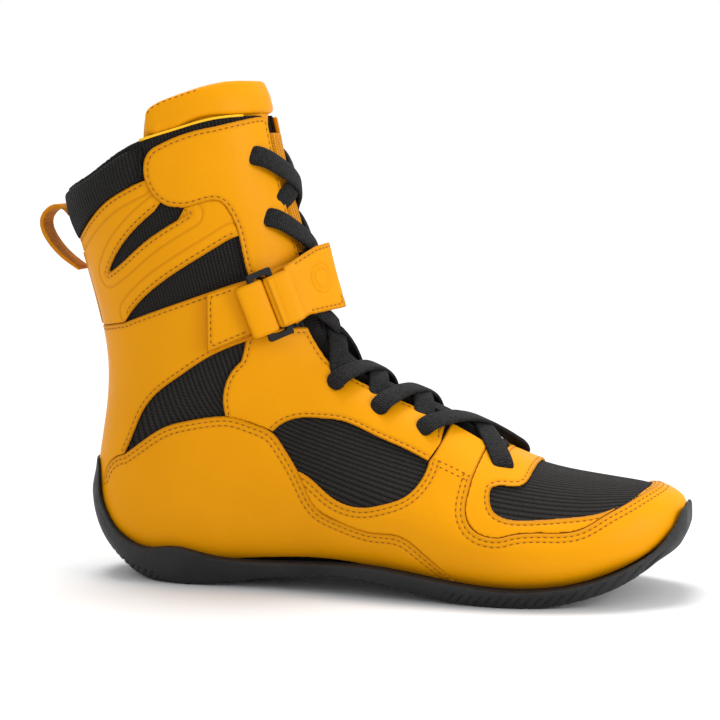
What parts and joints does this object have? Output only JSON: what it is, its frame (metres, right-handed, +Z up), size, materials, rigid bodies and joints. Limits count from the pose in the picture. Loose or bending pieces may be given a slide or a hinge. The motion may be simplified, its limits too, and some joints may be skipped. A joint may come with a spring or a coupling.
{
  "type": "high ring boot",
  "caption": "High lace-up ring boot with a thin rubber cup sole, leather panels over mesh, padded tongue, instep strap through a ring, and heel pull loop.",
  "frame": {"origin": "on the floor, under the middle of the boot's box", "axes": "+X towards the toe, -Y the outer side of a right foot, +Z up"},
  "size_m": [0.316, 0.1036, 0.2382],
  "materials": {
    "rubber_sole": "matt moulded rubber",
    "board": "fibre board",
    "footbed_foam": "fabric over foam",
    "black_lining": "soft knitted lining",
    "black_mesh": "ribbed woven mesh",
    "yellow_leather": "smooth satin coated leather, stitched edges",
    "yellow_webbing": "twill webbing",
    "black_plastic": "moulded satin plastic",
    "hook_and_loop": "hook and loop tape",
    "black_lace": "flat woven lace"
  },
  "bodies": {
    "foot": {"outsole_heel": "rubber_sole", "shank_board": "board", "footbed": "footbed_foam", "heel_stiffener": "board", "vamp_lining": "black_lining", "vamp_mesh": "black_mesh", "counter_outer": "yellow_leather", "counter_inner": "yellow_leather", "quarter_outer": "yellow_leather", "quarter_inner": "yellow_leather", "mudguard": "yellow_leather", "tongue_vamp": "black_lining", "tongue_face_vamp": "black_mesh", "lace_vamp": "black_lace"},
    "forefoot": {"outsole_forefoot": "rubber_sole", "toe_lining": "black_lining", "toe_mesh": "black_mesh", "toe_frame": "yellow_leather", "lace_toe": "black_lace"},
    "shaft": {"shaft_lining": "black_lining", "shaft_mesh": "black_mesh", "wing_outer": "yellow_leather", "wing_inner": "yellow_leather", "collar_band": "black_mesh", "back_panel": "yellow_leather", "ankle_panel": "yellow_leather", "back_webbing": "yellow_webbing", "tongue_shaft": "black_lining", "tongue_face_shaft": "black_mesh", "ring_tab": "yellow_leather", "ring": "black_plastic", "strap": "yellow_leather", "loop_patch": "hook_and_loop", "lace_ankle": "black_lace", "lace_shaft": "black_lace"},
    "tongue_tip": {"tongue_top": "yellow_leather", "tongue_front_pad": "yellow_leather"},
    "tail": {"strap_tail": "yellow_leather", "hook_patch": "hook_and_loop"},
    "pull": {"pull_loop": "yellow_webbing"}
  },
  "joints": [
    {"name": "ankle_flex", "type": "hinge", "parent": "foot", "child": "shaft", "pos_m": [-0.07556, -0.0007, 0.086], "axis": [0, 1, 0], "range_deg": [-8, 14], "stiffness_Nm_per_rad": 4, "deforming": ["vamp_lining", "shaft_lining", "vamp_mesh", "shaft_mesh", "ankle_panel", "counter_outer", "counter_inner", "quarter_outer", "quarter_inner", "tongue_vamp", "tongue_shaft", "tongue_face_vamp", "tongue_face_shaft", "lace_ankle", "lace_vamp"]},
    {"name": "toe_flex", "type": "hinge", "parent": "foot", "child": "forefoot", "pos_m": [0.08044, -0.0007, 0.007], "axis": [0, -1, 0], "range_deg": [0, 25], "stiffness_Nm_per_rad": 2, "deforming": ["outsole_heel", "outsole_forefoot", "footbed", "vamp_lining", "toe_lining", "vamp_mesh", "toe_mesh", "mudguard", "toe_frame", "tongue_vamp", "tongue_face_vamp", "lace_toe", "lace_vamp", "shank_board"]},
    {"name": "tongue_fold", "type": "hinge", "parent": "shaft", "child": "tongue_tip", "pos_m": [-0.04756, -0.0007, 0.214], "axis": [0, 1, 0], "range_deg": [-6, 22], "stiffness_Nm_per_rad": 0.4, "deforming": ["tongue_top", "tongue_front_pad", "tongue_shaft", "tongue_face_shaft"]},
    {"name": "strap_tail_peel", "type": "hinge", "parent": "shaft", "child": "tail", "pos_m": [-0.02972, -0.03176, 0.13671], "axis": [0.3289, 0.1326, -0.935], "range_deg": [0, 110]},
    {"name": "pull_loop_bend", "type": "hinge", "parent": "shaft", "child": "pull", "pos_m": [-0.14156, -0.0007, 0.161], "axis": [0, 1, 0], "range_deg": [-14, 14], "stiffness_Nm_per_rad": 0.06, "deforming": ["pull_loop"]}
  ]
}
